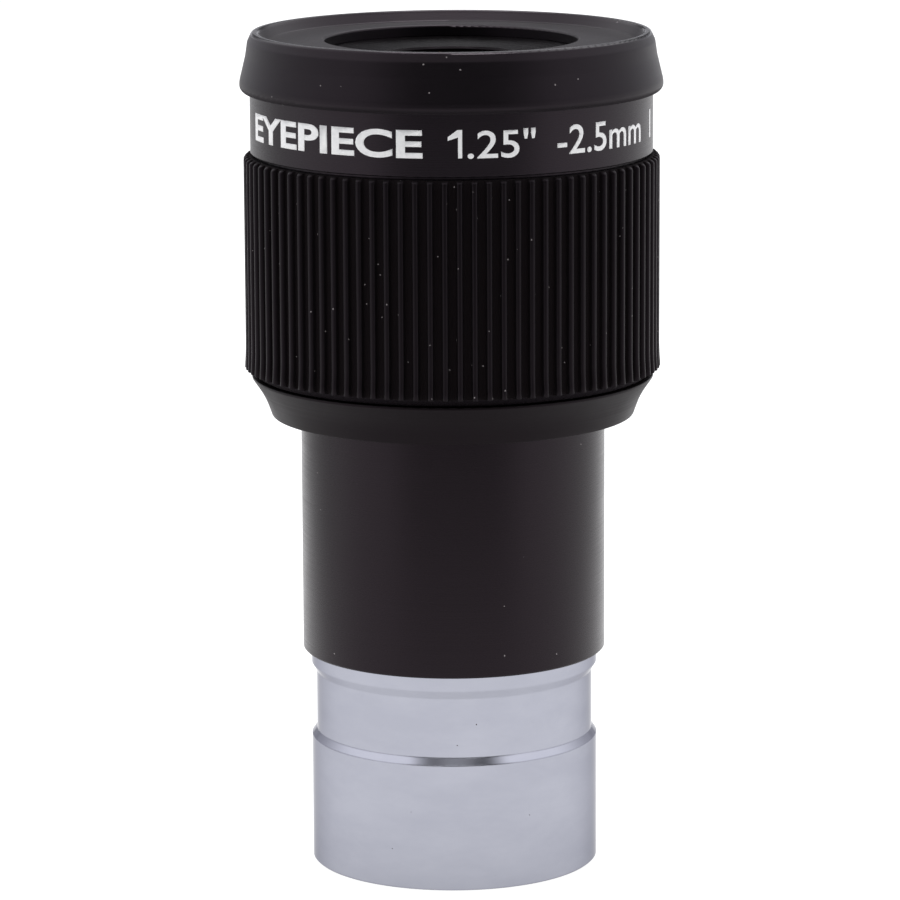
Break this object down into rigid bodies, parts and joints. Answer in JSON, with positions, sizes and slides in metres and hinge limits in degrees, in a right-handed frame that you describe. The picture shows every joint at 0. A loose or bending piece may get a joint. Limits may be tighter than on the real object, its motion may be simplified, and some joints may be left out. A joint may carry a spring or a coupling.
{
  "type": "telescope eyepiece",
  "caption": "Short telescope eyepiece: chromed nosepiece with a safety undercut, black tube, flared flange, ribbed rubber grip, and a twist-up sleeve with a folded rubber eyecup.",
  "frame": {"origin": "centre of the nosepiece's open end, which the eyepiece stands on", "axes": "+Z along the optical axis from the telescope towards the eye; +X and +Y across it, with the marking on the band centred on -Y"},
  "size_m": [0.0462, 0.0462, 0.0925],
  "materials": {
    "chrome_barrel": "bright turned chrome plating",
    "black_anodised": "satin black anodising",
    "coated_glass": "polished, multi-coated",
    "oring_rubber": "greased nitrile",
    "screw_steel": "turned steel",
    "nylon": "natural nylon",
    "ribbed_rubber": "matte moulded rubber",
    "eyecup_rubber": "soft matte rubber"
  },
  "bodies": {
    "eyepiece_body": {"nosepiece_barrel": "chrome_barrel", "extension_tube": "black_anodised", "base_flange": "black_anodised", "inner_housing": "black_anodised", "lens_cell": "black_anodised", "eye_lens_bezel": "black_anodised", "eye_lens_flint": "coated_glass", "eye_lens_crown": "coated_glass", "upper_spacer": "black_anodised", "middle_lens": "coated_glass", "lower_spacer": "black_anodised", "rear_lens_crown": "coated_glass", "rear_lens_flint": "coated_glass", "lens_lock_ring": "black_anodised", "field_stop": "black_anodised", "light_baffle": "black_anodised", "field_cell": "black_anodised", "field_lens_crown": "coated_glass", "field_lens_flint": "coated_glass", "field_retaining_ring": "black_anodised", "damping_oring": "oring_rubber", "guide_screws": "screw_steel"},
    "lift_ring": {"glide_ring": "nylon"},
    "twist_eyecup": {"twist_sleeve": "black_anodised", "rubber_grip": "ribbed_rubber", "rubber_eyecup": "eyecup_rubber"}
  },
  "joints": [
    {"name": "eyecup_rise", "type": "slide", "parent": "eyepiece_body", "child": "lift_ring", "axis": [0, 0, 1], "range_m": [0, 0.009]},
    {"name": "eyecup_twist", "type": "hinge", "parent": "lift_ring", "child": "twist_eyecup", "pos_m": [0, 0, 0.058], "axis": [0, 0, 1], "range_deg": [0, 100]}
  ],
  "couplings": [
    {"joint": "eyecup_rise", "follows": "eyecup_twist", "m_per_rad": 0.0051566}
  ]
}
